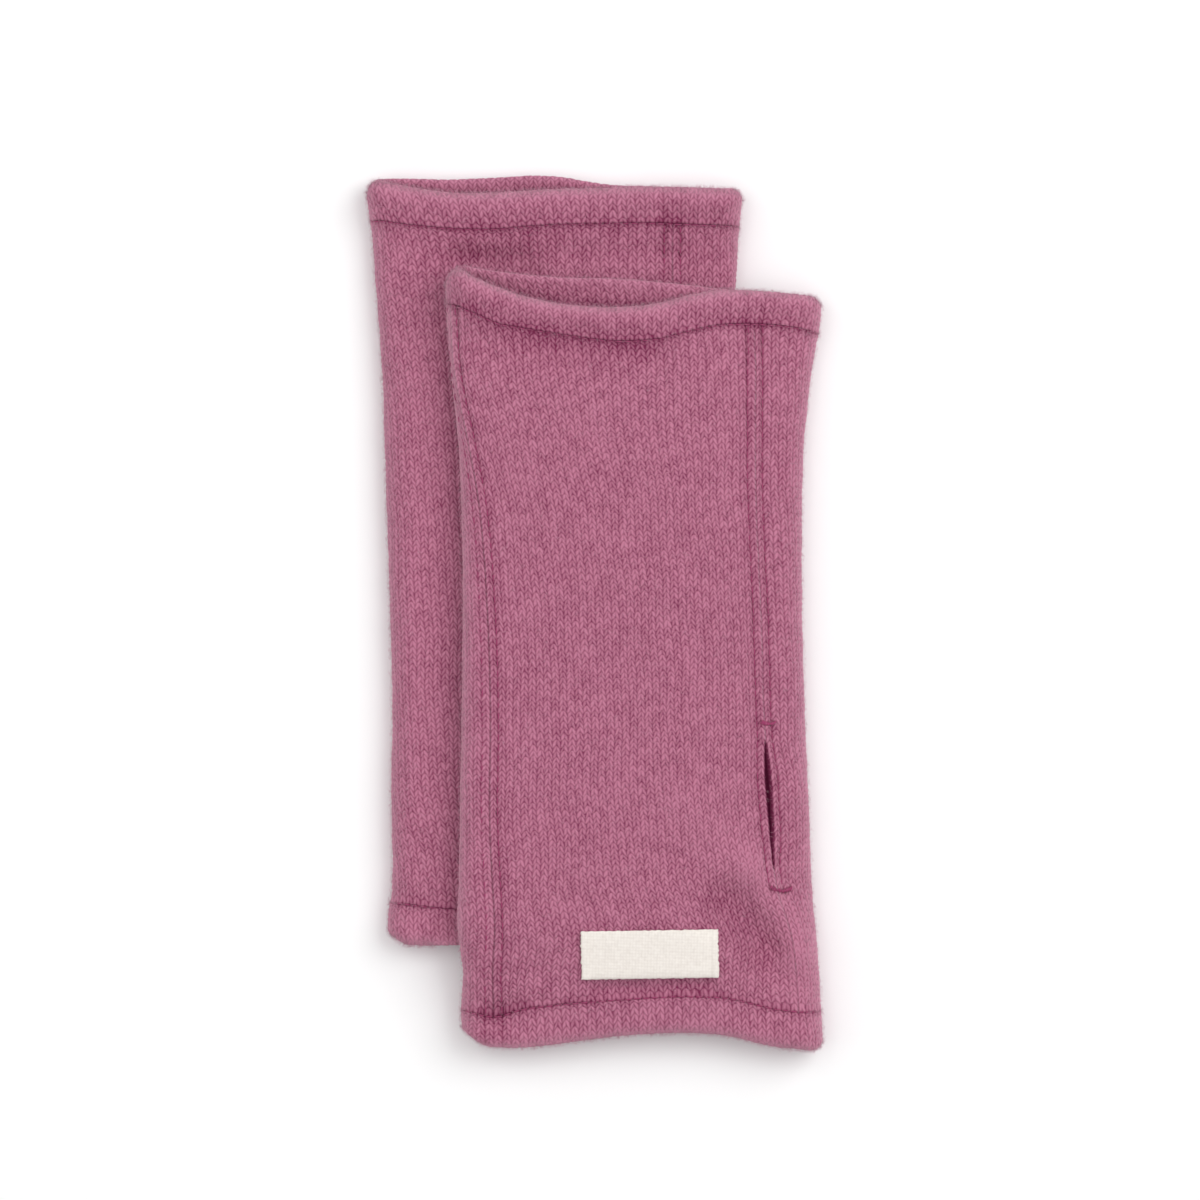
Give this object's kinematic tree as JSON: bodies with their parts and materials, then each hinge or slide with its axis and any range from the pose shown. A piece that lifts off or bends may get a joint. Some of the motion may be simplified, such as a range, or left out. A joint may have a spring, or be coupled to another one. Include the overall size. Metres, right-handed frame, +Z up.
{
  "type": "pair of wrist warmers",
  "caption": "Long fingerless wrist warmers in thick wool knit, with thumb slits and turned hems, laid flat one over the other.",
  "frame": {"origin": "on the surface that the pair lies on, under the middle of its bounding box", "axes": "+X across the warmers, from the low one's bare side to the top one's thumb side; +Y along them from the hand ends to the arm ends; +Z up"},
  "size_m": [0.1284, 0.2457, 0.0262],
  "materials": {
    "wool_knit": "brushed jersey knit, matt, with a short soft nap",
    "label_weave": "woven cotton tape, matt off-white"
  },
  "bodies": {
    "root": {"top_back_panel": "wool_knit", "top_palm_panel": "wool_knit", "top_arm_hem": "wool_knit", "top_hand_hem": "wool_knit", "top_label": "label_weave", "low_back_panel": "wool_knit", "low_palm_panel": "wool_knit", "low_arm_hem": "wool_knit", "low_hand_hem": "wool_knit"}
  },
  "joints": []
}
